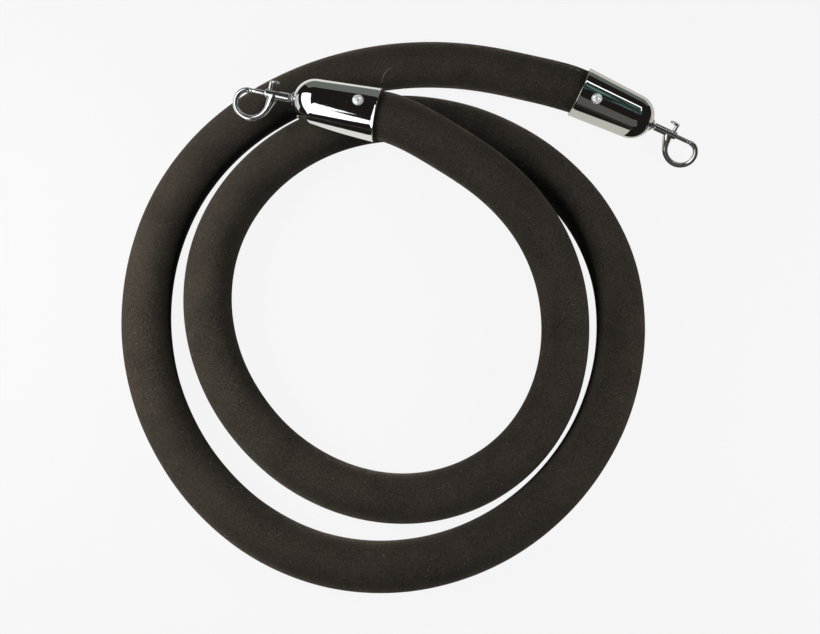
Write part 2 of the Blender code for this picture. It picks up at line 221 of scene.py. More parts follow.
def foam_finish():
    """Soft open filling, cream coloured."""
    made = Finish("foam_core", roughness=0.95)
    cells = made.node("ShaderNodeTexVoronoi", {}, {"Vector": made.place, "Scale": 900.0})
    made.link("Base Color", made.blend(cells, (0.50, 0.45, 0.35), (0.70, 0.66, 0.56)))
    made.bump(cells, 0.0003)
    return made.material


def plain_finish(name, colour, grain, lit=0.0):
    """A plain matt surface for the floor and the loose fibres; lit makes it glow like a light table."""
    made = Finish(name, roughness=0.9, specular_ior_level=0.0, emission_strength=lit,
                  emission_color=(1, 1, 1, 1))
    darker = tuple(0.97 * c for c in colour)
    made.link("Base Color", made.blend(made.noise(grain, 2, 0.5), colour, darker))
    return made.material


# ---- surfaces ---------------------------------------------------------------------------------
def surface(name, points, wrap_rows=False):
    """A mesh over an array of rows of points. Each row is a closed ring; a row that is all one point
    closes the end as a pole, and wrap_rows joins the last row to the first."""
    rows, cols = points.shape[:2]
    index = np.arange(rows * cols).reshape(rows, cols)
    for row in (0, rows - 1):
        if np.ptp(points[row], axis=0).max() < 1e-9:
            index[row] = index[row, 0]
    after = np.roll(index, -1, axis=0) if wrap_rows else index[1:]
    here = index if wrap_rows else index[:-1]
    quads = np.stack([here, np.roll(here, -1, 1), np.roll(after, -1, 1), after], axis=-1).reshape(-1, 4)
    first_pole = quads[:, 0] == quads[:, 1]
    last_pole = quads[:, 2] == quads[:, 3]
    whole = ~(first_pole | last_pole)
    triangles = np.concatenate([quads[first_pole][:, [0, 2, 3]], quads[last_pole][:, [0, 1, 2]]])
    used, corners = np.unique(np.concatenate([quads[whole].ravel(), triangles.ravel()]), return_inverse=True)
    flat = points.reshape(-1, 3)[used]
    totals = np.r_[np.full(whole.sum(), 4), np.full(len(triangles), 3)]
    starts = np.r_[0, np.cumsum(totals)[:-1]]
    mesh = bpy.data.meshes.new(name)
    mesh.vertices.add(len(flat))
    mesh.vertices.foreach_set("co", flat.astype(np.float32).ravel())
    mesh.loops.add(len(corners))
    mesh.loops.foreach_set("vertex_index", corners.astype(np.int32).ravel())
    mesh.polygons.add(len(totals))
    mesh.polygons.foreach_set("loop_start", starts.astype(np.int32))
    mesh.polygons.foreach_set("use_smooth", np.ones(len(totals), bool))
    mesh.update(calc_edges=True)
    mesh.validate()
    turn_outwards(mesh)
    return mesh


def turn_outwards(mesh):
    """Flips the faces when the volume that they enclose comes out negative."""
    made = bmesh.new()
    made.from_mesh(mesh)
    if made.calc_volume(signed=True) < 0:
        bmesh.ops.reverse_faces(made, faces=made.faces)
        made.to_mesh(mesh)
    made.free()


def add(name, mesh, material, body, replaced=()):
    """Puts a finished mesh on its body, in place of the frame's nodes that it replaces."""
    obj = bpy.data.objects.new(name, mesh)
    bpy.context.scene.collection.objects.link(obj)
    mesh.materials.clear()
    mesh.materials.append(material)
    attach(obj, body)
    if replaced:
        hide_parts(*replaced)
    return obj


def moved(mesh, matrix):
    mesh.transform(matrix)
    return mesh


def rounded(outline, radius, steps=5, closed=False):
    """The outline with each corner replaced by an arc-like curve that starts a radius from it: the
    quadratic curve through the two cut points, pulled to the corner."""
    points = [np.array(p, float) for p in outline]
    count = len(points)
    made = [] if closed else [points[0]]
    for i in range(count) if closed else range(1, count - 1):
        before, corner, after = points[i - 1], points[i], points[(i + 1) % count]
        cut = min(radius, 0.45 * np.linalg.norm(before - corner), 0.45 * np.linalg.norm(after - corner))
        start = corner + (before - corner) / np.linalg.norm(before - corner) * cut
        end = corner + (after - corner) / np.linalg.norm(after - corner) * cut
        for t in np.linspace(0, 1, steps):
            made.append((1 - t) ** 2 * start + 2 * t * (1 - t) * corner + t**2 * end)
    return np.array(made if closed else made + [points[-1]])


def turned_points(outline, sides):
    """Each outline point (radius, height) carried round the Z axis: (r cos t, r sin t, height)."""
    outline = np.asarray(outline, float)
    turn = np.linspace(0, 2 * math.pi, sides, endpoint=False)
    points = np.empty((len(outline), sides, 3))
    points[..., 0] = outline[:, :1] * np.cos(turn)
    points[..., 1] = outline[:, :1] * np.sin(turn)
    points[..., 2] = outline[:, 1:]
    return points


def lathe(name, outline, sides=48, closed=False):
    """The surface that an outline in millimetres turns through; closed joins its last point to its first."""
    return surface(name, turned_points(outline, sides) * MM, closed)


def smooth_line(points, count, start=None, end=None):
    """count points, evenly spaced, on a cubic spline through the points; start and end are its
    directions at its ends, and an end without one is left free."""
    p = np.asarray(points, float)
    t = np.r_[0, np.cumsum(np.linalg.norm(np.diff(p, axis=0), axis=1))]
    h = np.diff(t)[:, None]
    n = len(p)
    lhs = np.zeros((n, n))
    rhs = np.zeros((n, p.shape[1]))
    slope = np.diff(p, axis=0) / h
    for i in range(1, n - 1):
        lhs[i, i - 1 : i + 2] = [h[i, 0], 2 * (h[i - 1, 0] + h[i, 0]), h[i - 1, 0]]
        rhs[i] = 3 * (h[i] * slope[i - 1] + h[i - 1] * slope[i])
    for row, inner, edge, given in ((0, 1, 0, start), (n - 1, n - 2, n - 2, end)):
        lhs[row, row] = 2.0 if given is None else 1.0
        lhs[row, inner] = 1.0 if given is None else 0.0
        rhs[row] = 3 * slope[edge] if given is None else given
    d = np.linalg.solve(lhs, rhs)

    def at(values):
        i = np.clip(np.searchsorted(t, values, side="right") - 1, 0, n - 2)
        u = ((values - t[i]) / h[i, 0])[:, None]
        return (
            (1 + 2 * u) * (1 - u) ** 2 * p[i]
            + u * (1 - u) ** 2 * h[i] * d[i]
            + u**2 * (3 - 2 * u) * p[i + 1]
            + u**2 * (u - 1) * h[i] * d[i + 1]
        )

    fine = np.linspace(0, t[-1], 40 * n)
    line = at(fine)
    along = np.r_[0, np.cumsum(np.linalg.norm(np.diff(line[:, :3], axis=0), axis=1))]
    return at(np.interp(np.linspace(0, along[-1], count), along, fine))


def across_line(line):
    """Two unit directions across each point of a line: level and upright."""
    tangent = np.gradient(line, axis=0)
    tangent /= np.linalg.norm(tangent, axis=1)[:, None]
    level = np.cross(tangent, [0.0, 0.0, 1.0])
    level /= np.linalg.norm(level, axis=1)[:, None]
    return level, np.cross(level, tangent)


def swept(name, line, radii, sides, flat=1.0):
    """A tube whose ring at each point of a line in the XZ plane has that radius, flat times as thick
    across the plane, and closed by a rounded end: three smaller rings and a pole."""
    line, radii = np.asarray(line, float), np.asarray(radii, float)
    tangent = np.gradient(line, axis=0)
    tangent /= np.linalg.norm(tangent, axis=1)[:, None]
    side = np.cross(tangent, [0.0, 1.0, 0.0])
    turn = np.linspace(0, 2 * math.pi, sides, endpoint=False)
    rings = (
        line[:, None]
        + side[:, None] * (radii[:, None] * np.cos(turn))[..., None]
        + np.array([0.0, 1.0, 0.0]) * (radii[:, None] * np.sin(turn))[..., None] * flat
    )
    lift = np.array([0.45, 0.8, 1.0])[:, None, None]
    shrink = np.array([0.89, 0.6, 0.0])[:, None, None]
    end = line[-1] + (rings[-1] - line[-1]) * shrink + tangent[-1] * lift * radii[-1]
    start = (line[0] + (rings[0] - line[0]) * shrink - tangent[0] * lift * radii[0])[::-1]
    return surface(name, np.concatenate([start, rings, end]))


def carved(name, base, joined=(), cut=(), voxel=None, smoothing=0):
    """A casting: the solids joined, remeshed and smoothed so that they flow together, then cut."""
    helpers = []

    def helper(mesh):
        obj = bpy.data.objects.new("helper", mesh)
        bpy.context.scene.collection.objects.link(obj)
        helpers.append(obj)
        return obj

    body = helper(base)
    for mesh in joined:
        boolean(body, helper(mesh), "UNION")
    if voxel:
        remesh = body.modifiers.new("even", "REMESH")
        remesh.mode = "VOXEL"
        remesh.voxel_size = voxel
        remesh.use_smooth_shade = True
        smooth = body.modifiers.new("flow", "SMOOTH")
        smooth.factor = 0.5
        smooth.iterations = smoothing
    for mesh in cut:
        boolean(body, helper(mesh), "DIFFERENCE")
    bpy.context.view_layer.update()
    depsgraph = bpy.context.evaluated_depsgraph_get()
    mesh = bpy.data.meshes.new_from_object(body.evaluated_get(depsgraph))
    mesh.name = name
    for obj in helpers:
        bpy.data.objects.remove(obj, do_unlink=True)
    mesh.polygons.foreach_set("use_smooth", np.ones(len(mesh.polygons), bool))
    return mesh


def boolean(obj, other, operation):
    mod = obj.modifiers.new(operation.lower(), "BOOLEAN")
    mod.object = other
    mod.operation = operation
    mod.solver = "EXACT"


def block(name, low, high):
    """A plain box between two corners, in millimetres, used only to cut."""
    mesh = bpy.data.meshes.new(name)
    made = bmesh.new()
    bmesh.ops.create_cube(made, size=1.0)
    low, high = np.array(low), np.array(high)
    bmesh.ops.scale(made, vec=(high - low) * MM, verts=made.verts)
    bmesh.ops.translate(made, vec=(high + low) / 2 * MM, verts=made.verts)
    made.to_mesh(mesh)
    made.free()
    return mesh


# ---- where the rope and its fittings lie, in millimetres --------------------------------------
ROPE_R = 19.0
REST_Z = ROPE_R * math.cos(math.pi / 12)
COIL_CENTRE = (-16.9, -18.9)
# The rope's middle line: the angle about the coil's centre in degrees, the distance from it, the height.
ROUTE = [
    (66, 244.9, REST_Z + 0.6),
    (80, 232.8, REST_Z),
    (100, 220.8, REST_Z),
    (120, 213.1, REST_Z),
    (140, 208.0, REST_Z),
    (160, 202.2, REST_Z),
    (180, 196.4, REST_Z),
    (200, 192.9, REST_Z),
    (220, 191.3, REST_Z),
    (240, 191.9, REST_Z),
    (260, 192.3, REST_Z),
    (280, 190.6, REST_Z),
    (300, 188.1, REST_Z),
    (320, 185.9, REST_Z),
    (340, 185.2, REST_Z),
    (360, 186.1, REST_Z),
    (380, 187.4, REST_Z),
    (400, 185.4, REST_Z),
    (420, 181.2, REST_Z),
    (440, 177.5, REST_Z),
    (460, 174.0, REST_Z),
    (480, 169.4, REST_Z),
    (500, 163.6, REST_Z),
    (520, 156.3, REST_Z),
    (540, 147.9, REST_Z),
    (560, 140.6, REST_Z),
    (580, 136.2, REST_Z),
    (600, 135.5, REST_Z),
    (620, 137.7, REST_Z),
    (640, 141.4, REST_Z),
    (660, 144.3, REST_Z),
    (680, 145.0, REST_Z),
    (700, 143.4, REST_Z),
    (720, 141.3, 19.4),
    (740, 140.0, 25.8),
    (760, 138.7, 34.9),
    (780, 137.9, 44.8),
    (798, 141.6, 53.3),
]
# Each ferrule's mouth, its compass heading and its dip, and how far its screw and its hook's ring are
# turned from the top towards the near side, in degrees.
ENDS = {
    "a": {"mouth": (124.2, 195.2, 22.0), "heading": -19.2, "dip": 3.0, "screw": 27.5, "ring": 131.0},
    "b": {"mouth": (-42.7, 136.4, 61.0), "heading": 174.3, "dip": -0.5, "screw": 2.0, "ring": 110.0},
}
NEAR_SIDE = Vector((0, -1, 0))
STRAIGHT_AT_A, STRAIGHT_AT_B = 3.0, -6.0  # points on the ferrules' axes that the rope also passes

SLEEVE_IN = 23.0
NECK_LENGTH = 15.0
SLEEVE_END_R = 17.7
FERRULE_LENGTH = 68.0
FERRULE_WALL = 1.0
MOUTH_R = 21.2
SHOULDER_R = 18.6
SHOULDER_Z = 50.0
NOSE_FLAT_R = 4.6
NOSE_HOLE_R = 2.3
SCREW_Z = 15.0
SNAP_Z = FERRULE_LENGTH + 2.9


def fitting_axes(end):
    """The fitting's direction, and the two directions across it: up, and towards the near side."""
    heading, dip = math.radians(end["heading"]), math.radians(end["dip"])
    along = Vector((math.cos(heading) * math.cos(dip), math.sin(heading) * math.cos(dip), -math.sin(dip)))
    near = (NEAR_SIDE - along * NEAR_SIDE.dot(along)).normalized()
    near = (near - Vector((0, 0, near.z))).normalized()
    up = along.cross(near)
    return along, (up if up.z > 0 else -up), near


def turned_matrix(end, turn, lift=0.0):
    """The frame on the fitting's axis, lift past the mouth, with +X turned from up to the near side."""
    along, up, near = fitting_axes(end)
    x = up * math.cos(math.radians(turn)) + near * math.sin(math.radians(turn))
    matrix = Matrix((x, along.cross(x), along)).transposed().to_4x4()
    matrix.translation = (Vector(end["mouth"]) + along * lift) * MM
    return matrix


def rope_line(count):
    """The rope's middle line from inside ferrule a to inside ferrule b, in metres."""
    polar = np.array(ROUTE, float)
    angle = np.radians(polar[:, 0])
    laid = np.c_[
        COIL_CENTRE[0] + polar[:, 1] * np.cos(angle),
        COIL_CENTRE[1] + polar[:, 1] * np.sin(angle),
        polar[:, 2],
    ]
    axis = {letter: np.array(fitting_axes(end)[0]) for letter, end in ENDS.items()}
    mouth = {letter: np.array(end["mouth"]) for letter, end in ENDS.items()}
    line = [
        mouth["a"] + SLEEVE_IN * axis["a"],
        mouth["a"] + STRAIGHT_AT_A * axis["a"],
        *laid,
        mouth["b"] + STRAIGHT_AT_B * axis["b"],
        mouth["b"] + SLEEVE_IN * axis["b"],
    ]
    smooth = smooth_line(line, count, -axis["a"], axis["b"])
    smooth[:, 2] = np.maximum(smooth[:, 2], REST_Z)
    return smooth * MM


# ---- the rope ---------------------------------------------------------------------------------
ROPE_RINGS = 1100
ROPE_SIDES = 80
SAG = 0.03  # how much wider than high the rope is where it rests on another turn
RAISED = 12.0  # the rope is fully pressed this far above its rest height
UNEVEN = 0.004
WAVE_COUNT, WAVE_SEED = 14, 7
SWIRL = 0.011  # how far the unevenness runs ahead on one side, as a share of the length
FLOOR_GAP = 0.00002  # in metres


def waves(phase, count, seed):
    """A smooth random run along the rope: a sum of sines of seeded lengths and starts."""
    draw = np.random.default_rng(seed)
    cycles = draw.uniform(6, 46, count)
    starts = draw.uniform(0, 2 * math.pi, count)
    size = draw.uniform(0.3, 1.0, count) / np.sqrt(count)
    return (size * np.sin(2 * math.pi * cycles * phase[..., None] + starts)).sum(-1)


def make_rope(material):
    """A soft tube: rings across the rope's line, each radius times a slow run of waves, necked in
    towards the ferrules and a little flattened where one turn climbs over another."""
    line = rope_line(ROPE_RINGS)
    level, upright = across_line(line)
    along = np.r_[0, np.cumsum(np.linalg.norm(np.diff(line, axis=0), axis=1))]
    length = along[-1]
    from_end = np.minimum(along, length - along)
    share = np.clip(from_end / ((SLEEVE_IN + NECK_LENGTH) * MM), 0, 1)
    share = share * share * (3 - 2 * share)
    radius = (SLEEVE_END_R + (ROPE_R - SLEEVE_END_R) * share) * MM
    pressed = np.clip((line[:, 2] / MM - REST_Z) / RAISED, 0, 1) * share
    turn = np.linspace(0, 2 * math.pi, ROPE_SIDES, endpoint=False)
    phase = (along / length)[:, None] + SWIRL * np.sin(turn)
    uneven = 1 + UNEVEN * waves(phase, WAVE_COUNT, WAVE_SEED) * share[:, None]
    wide = radius[:, None] * uneven * (1 + SAG * pressed[:, None])
    high = radius[:, None] * uneven * (1 - SAG * pressed[:, None])
    rings = (
        line[:, None]
        + level[:, None] * (wide * np.cos(turn))[..., None]
        + upright[:, None] * (high * np.sin(turn))[..., None]
    )
    rings[..., 2] = np.maximum(rings[..., 2], FLOOR_GAP)
    ends = [np.repeat(line[i][None, None], ROPE_SIDES, axis=1) for i in (0, -1)]
    mesh = surface("velvet_rope", np.concatenate([ends[0], rings, ends[1]]))
    rope = add("velvet_rope", mesh, material, "rope", ["velvet_sleeve"])
    line[::4].tolist() + [line[-1].tolist()]
    return line, level, upright


LINT_COUNT, LINT_SEED = 70, 11
LINT_R, HAIR_R = 0.045, 0.09
CLEAR_OF_ENDS = 60  # rings at each end that stay clean
PROUD = 1.004  # how far out a fibre lies, as a share of the rope's radius
HAIR = [(-37.6, 191.5, 37.6), (-40.8, 188.0, 38.1), (-43.2, 182.5, 38.2), (-44.0, 176.8, 37.8)]


def make_lint(line, level, upright, material):
    """Short loose fibres caught in the pile: thin bent threads that lie on the rope's upper side, and
    one long hair near the second fitting."""
    draw = np.random.default_rng(LINT_SEED)
    threads = []
    for _ in range(LINT_COUNT):
        i = int(draw.integers(CLEAR_OF_ENDS, ROPE_RINGS - CLEAR_OF_ENDS))
        lean = draw.uniform(-1.2, 1.2)
        size = draw.uniform(0.8, 2.6) * MM
        spin = draw.uniform(0, 2 * math.pi)
        bend = draw.uniform(-1.2, 1.2)
        out = level[i] * math.sin(lean) + upright[i] * math.cos(lean)
        first = np.cross(out, level[i] + 0.2 * upright[i])
        first /= np.linalg.norm(first)
        second = np.cross(out, first)
        t = np.linspace(-0.5, 0.5, 7)[:, None]
        angle = spin + bend * t
        middle = line[i] + out * (ROPE_R * PROUD * MM)
        path = middle + size * t * (first * np.cos(angle) + second * np.sin(angle))
        threads.append(thread(path, LINT_R * MM))
    threads.append(thread(smooth_line(np.array(HAIR) * MM, 24), HAIR_R * MM))
    add("lint", joined_rings("lint", threads), material, "rope")


def thread(path, radius):
    """A four-sided thread along a path, tapering to its ends."""
    tangent = np.gradient(path, axis=0)
    tangent /= np.linalg.norm(tangent, axis=1)[:, None]
    side = np.cross(tangent, [0.31, 0.17, 0.93])
    side /= np.linalg.norm(side, axis=1)[:, None]
    over = np.cross(tangent, side)
    t = np.linspace(0, 1, len(path))
    size = radius * np.sqrt(np.clip(4 * t * (1 - t), 0.02, 1))
    turn = np.arange(4) * math.pi / 2
    rings = path[:, None] + size[:, None, None] * (
        side[:, None] * np.cos(turn)[:, None] + over[:, None] * np.sin(turn)[:, None]
    )
    ends = [np.repeat(path[i][None, None], 4, axis=1) for i in (0, -1)]
    return np.concatenate([ends[0], rings, ends[1]])


def joined_rings(name, grids):
    """One mesh from several closed surfaces."""
    made = bmesh.new()
    for grid in grids:
        piece = surface(name, grid)
        made.from_mesh(piece)
        bpy.data.meshes.remove(piece)
    mesh = bpy.data.meshes.new(name)
    made.to_mesh(mesh)
    made.free()
    return mesh


# ---- an end fitting ---------------------------------------------------------------------------
LIP_R = 0.55
HEAD_R, HEAD_H, SHANK_R, SCREW_LENGTH = 4.3, 2.4, 1.9, 13.0
HEAD_RINGS, HEAD_SIDES = 60, 120
SCREW_SPIN = 0.5
RECESS_LONG, RECESS_WIDE, RECESS_DEEP, RECESS_SOFT = 2.3, 0.5, 1.3, 0.18


def ferrule_outline(inset, steps):
    """The outline from the nose's flat down to the mouth, inset from the outer surface: a dome that is
    an ellipse quarter, then a straight taper."""
    dome_r = SHOULDER_R - inset
    height = FERRULE_LENGTH - SHOULDER_Z - inset
    flat = math.acos((NOSE_FLAT_R - 0.5 * inset) / dome_r)
    t = np.linspace(flat, 0, steps)
    dome = np.c_[dome_r * np.cos(t), SHOULDER_Z + height * np.sin(t) / math.sin(flat)]
    s = np.linspace(0, 1, 26)[1:, None]
    taper = dome[-1] + (np.array([MOUTH_R - inset, 0.9]) - dome[-1]) * s
    return np.concatenate([dome, taper])


def make_ferrule(letter, end, material):
    """A thin pressed shell with a rolled lip round its mouth."""
    outer, inner = ferrule_outline(0, 40), ferrule_outline(FERRULE_WALL, 24)
    t = np.linspace(0, math.pi, 14)[:, None]
    middle = np.array([MOUTH_R - 0.42, LIP_R])
    lip = middle + np.c_[LIP_R * np.cos(t), -LIP_R * np.sin(t)]
    top, ceiling = [(NOSE_HOLE_R, outer[0][1])], [(NOSE_HOLE_R, inner[0][1])]
    outline = np.concatenate([top, outer, lip, inner[::-1], ceiling])
    name = f"ferrule_{letter}_shell"
    mesh = moved(lathe(name, outline, 128, closed=True), turned_matrix(end, end["screw"]))
    add(name, mesh, material, "rope", [f"ferrule_{letter}"])


def surface_r(z):
    """The radius of the ferrule's straight taper at a height above the mouth."""
    return MOUTH_R + (SHOULDER_R - MOUTH_R) * z / SHOULDER_Z


def step(x, soft):
    """0 below zero and 1 above it, with a smooth step that is soft wide."""
    t = np.clip(x / soft + 0.5, 0, 1)
    return t * t * (3 - 2 * t)


def make_screw(letter, number, end, turn, material):
    """A round head, as a quarter ellipse turned about its axis, less a cross whose arms deepen towards
    the middle; then its flat underside and its pointed shank."""
    seat = surface_r(SCREW_Z) + 0.25
    t = np.linspace(0, math.pi / 2, HEAD_RINGS)
    top = np.c_[HEAD_R * np.sin(t), seat + HEAD_H * np.cos(t)]
    point = seat - SCREW_LENGTH
    under = rounded([(HEAD_R, seat), (SHANK_R, seat), (SHANK_R, point + 3), (0, point)], 0.1)
    points = turned_points(np.concatenate([top, under]), HEAD_SIDES)
    x, y = np.abs(points[:HEAD_RINGS, :, 0]), np.abs(points[:HEAD_RINGS, :, 1])
    arm = np.maximum(
        step(RECESS_LONG - x, RECESS_SOFT * 2) * step(RECESS_WIDE - y, RECESS_SOFT),
        step(RECESS_LONG - y, RECESS_SOFT * 2) * step(RECESS_WIDE - x, RECESS_SOFT),
    )
    depth = RECESS_DEEP * np.clip(1.25 - np.hypot(x, y) / RECESS_LONG, 0.2, 1)
    points[:HEAD_RINGS, :, 2] -= arm * depth
    name = f"screw_{letter}{number}"
    matrix = (
        turned_matrix(end, end["screw"] + turn)
        @ Matrix.Translation((0, 0, SCREW_Z * MM))
        @ Matrix.Rotation(math.pi / 2, 4, "Y")
        @ Matrix.Rotation(SCREW_SPIN, 4, "Z")
    )
    add(name, moved(surface(name, points * MM), matrix), material, "rope", [f"ferrule_{name}"])


def make_cone(letter, end, material):
    """The small stepped collar between the ferrule's nose and the snap."""
    nose = FERRULE_LENGTH
    outline = rounded(
        [(2.2, nose + 2.3), (3.2, nose + 2.3), (3.6, nose + 1.5),
         (5.1, nose + 0.9), (5.3, nose + 0.25), (2.2, nose + 0.25)],
        0.35, closed=True,
    )
    name = f"nose_collar_{letter}"
    mesh = moved(lathe(name, outline, 64, closed=True), turned_matrix(end, end["screw"]))
    add(name, mesh, material, "rope", [f"nose_cone_{letter}"])


# ---- a snap -----------------------------------------------------------------------------------
BARREL_R, BARREL_LENGTH = 3.3, 20.6
STUD_Z, STUD_TRAVEL, SLOT_HALF = 16.9, 7.2, 1.5
BOLT_R, BOLT_LOW, BOLT_HIGH = 1.8, 15.1, 33.2
BORE_R, BORE_START, SPRING_TOP = 2.15, 5.0, 14.8
HOOK_FLAT = 0.92  # the hook's thickness across its plane, as a share of its thickness in it
BUTTON_BACK = 2.9
CASTING_VOXEL, STUD_VOXEL = 0.00026, 0.00018
# The hook's middle line: the distance along the barrel, the distance out from it, the radius.
HOOK = [
    (13.2, 1.0, 3.6),
    (14.6, 5.0, 3.7),
    (16.0, 9.6, 2.9),
    (18.4, 14.8, 2.4),
    (23.2, 19.4, 2.2),
    (30.2, 21.6, 2.2),
    (37.0, 20.0, 2.2),
    (41.6, 15.4, 2.2),
    (42.8, 9.4, 2.2),
    (41.0, 4.0, 2.15),
    (37.2, 0.8, 2.1),
    (33.6, 0.0, 2.05),
]


def make_snap_body(letter, matrix, material):
    """The casting: a turned barrel and a hook that is a tube along a smooth bend, flowing into one
    another, with a bore, a swivel pocket and the stud's slot cut in."""
    corners = [(0, 0), (BARREL_R, 0), (BARREL_R, BARREL_LENGTH), (0, BARREL_LENGTH)]
    barrel = lathe("barrel", rounded(corners, 0.9), 64)
    bend = smooth_line([(d, 0, z, r) for z, d, r in HOOK], 120)
    hook = swept("hook", bend[:, :3] * MM, bend[:, 3] * MM, 32, HOOK_FLAT)
    past = BARREL_LENGTH + 2
    bore = lathe("bore", [(0, BORE_START), (BORE_R, BORE_START), (BORE_R, past), (0, past)], 40)
    pocket = lathe("pocket", [(0, 4.2), (2.6, 4.2), (2.6, 1.0), (1.7, 1.0), (1.7, -1), (0, -1)], 40)
    slot_low, slot_high = STUD_Z - STUD_TRAVEL - SLOT_HALF, STUD_Z + SLOT_HALF
    slot = block("slot", (-BARREL_R - 2, -SLOT_HALF, slot_low), (0, SLOT_HALF, slot_high))
    tip_end = BOLT_HIGH + 0.3
    tip = lathe("tip_cut", [(0, 30), (2.2, 30), (2.2, tip_end), (0, tip_end)], 40)
    name = f"snap_{letter}_casting"
    mesh = carved(name, barrel, [hook], [bore, pocket, slot, tip], voxel=CASTING_VOXEL, smoothing=7)
    add(name, moved(mesh, matrix), material, f"snap_{letter}", [f"snap_body_{letter}"])


def make_bolt(letter, matrix, material):
    """The sliding rod that closes the hook, with a rounded tip and a turned groove near it."""
    groove_r = BOLT_R - 0.2
    outline = rounded(
        [(0, BOLT_HIGH), (BOLT_R, BOLT_HIGH), (BOLT_R, 31.4), (groove_r, 31.2),
         (groove_r, 30.9), (BOLT_R, 30.7), (BOLT_R, BOLT_LOW), (0, BOLT_LOW)],
        0.5,
    )
    name = f"bolt_{letter}_rod"
    mesh = moved(lathe(name, outline, 48), matrix)
    add(name, mesh, material, f"bolt_{letter}", [f"latch_bolt_{letter}"])


def make_thumb_stud(letter, matrix, material):
    """The finger stud: a waisted stem with a domed button set back from it, run together."""
    waist = [(0, 10), (1.75, 10), (1.55, 6.5), (1.9, 3.7), (1.15, 3.5), (1.15, 1.2), (0, 1.2)]
    dome = [(0, 10.5), (2.6, 10.45), (3.9, 9.9), (3.9, 8.8), (3.1, 8.4), (0, 8.4)]
    stem = lathe("stem", rounded(waist, 0.5), 40)
    button = moved(lathe("button", rounded(dome, 0.6), 48), Matrix.Translation((-BUTTON_BACK * MM, 0, 0)))
    name = f"thumb_{letter}_button"
    mesh = carved(name, stem, [button], voxel=STUD_VOXEL, smoothing=5)
    outward = matrix @ Matrix.Translation((0, 0, STUD_Z * MM)) @ Matrix.Rotation(-math.pi / 2, 4, "Y")
    add(name, moved(mesh, outward), material, f"bolt_{letter}", [f"thumb_stud_{letter}"])


def let_spring_shorten(letter):
    """Gives the frame's own spring a mesh of its own, a copy of the one it had."""
    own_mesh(frame["nodes"][f"bolt_spring_{letter}"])


# ---- the stage --------------------------------------------------------------------------------
WHITE = (1.0, 1.0, 1.0)
WINDOW = (1.0, 0.99, 0.99)
WARM_TABLE = (1.0, 0.95, 0.86)
DARK_ROOM = (0.014, 0.011, 0.010, 1.0)
FLOOR_GREY, FLOOR_GLOW, FLOOR_HALF = 0.022, 0.896, 9.0
TENT_R, TENT_GLOW, BACKDROP_GLOW = 8.5, 0.09, 0.93
LIGHT_SIZE, LIGHT_SPREAD = 0.4, math.radians(95)
UNDER_TABLE = -0.0002
NEAR_WALL_Y, FAR_WALL_Y = -0.91, 1.3
STRIP_Z, CEILING_Z = 1.1, 1.6


def glow(name, colour, strength):
    """A material that only gives out light."""
    made = bpy.data.materials.new(name)
    made.use_nodes = True
    tree = made.node_tree
    tree.nodes.clear()
    light, out = tree.nodes.new("ShaderNodeEmission"), tree.nodes.new("ShaderNodeOutputMaterial")
    light.inputs["Color"].default_value = (*colour, 1.0)
    light.inputs["Strength"].default_value = strength
    tree.links.new(light.outputs[0], out.inputs[0])
    return made


def staged(name, mesh, unseen_by):
    """A stage object that the kinds of ray in unseen_by pass through."""
    obj = bpy.data.objects.new(name, mesh)
    bpy.context.scene.collection.objects.link(obj)
    for ray in unseen_by:
        setattr(obj, f"visible_{ray}", False)
    return obj


def card(name, corners, colour, strength):
    """A studio card that only polished metal sees: a flat sheet between four corners."""
    mesh = bpy.data.meshes.new(name)
    mesh.from_pydata(corners, [], [(0, 1, 2, 3)])
    mesh.materials.append(glow(name, colour, strength))
    return staged(name, mesh, ("camera", "diffuse", "shadow", "transmission"))


def upright_card(name, y, x, z, colour, strength):
    """A card that faces along Y; x and z are each a low and a high."""
    return card(name, [(x[0], y, z[0]), (x[1], y, z[0]), (x[1], y, z[1]), (x[0], y, z[1])], colour, strength)


def level_card(name, z, x, y, colour, strength):
    """A card that faces up and down; x and y are each a low and a high."""
    return card(name, [(x[0], y[0], z), (x[1], y[0], z), (x[1], y[1], z), (x[0], y[1], z)], colour, strength)


def blotches(obj):
    """Breaks a card up into faint blue-green patches, like a studio ceiling out of the light."""
    tree = obj.data.materials[0].node_tree
    coords = tree.nodes.new("ShaderNodeTexCoord")
    patches = tree.nodes.new("ShaderNodeTexNoise")
    patches.inputs["Scale"].default_value = 8.0
    patches.inputs["Detail"].default_value = 6.0
    ramp = tree.nodes.new("ShaderNodeValToRGB")
    dark, light = ramp.color_ramp.elements
    dark.position, dark.color = 0.47, (0.008, 0.010, 0.010, 1.0)
    light.position, light.color = 0.72, (0.20, 0.34, 0.32, 1.0)
    tree.links.new(coords.outputs["Object"], patches.inputs["Vector"])
    tree.links.new(patches.outputs[0], ramp.inputs[0])
    tree.links.new(ramp.outputs[0], tree.nodes["Emission"].inputs["Color"])


def make_world():
    scene = bpy.context.scene
    scene.view_settings.view_transform = "Standard"
    scene.view_settings.look = "None"
    scene.world = bpy.data.worlds.new("studio")
    scene.world.use_nodes = True
    background = scene.world.node_tree.nodes["Background"]
    background.inputs["Color"].default_value = DARK_ROOM
    background.inputs["Strength"].default_value = 1.0


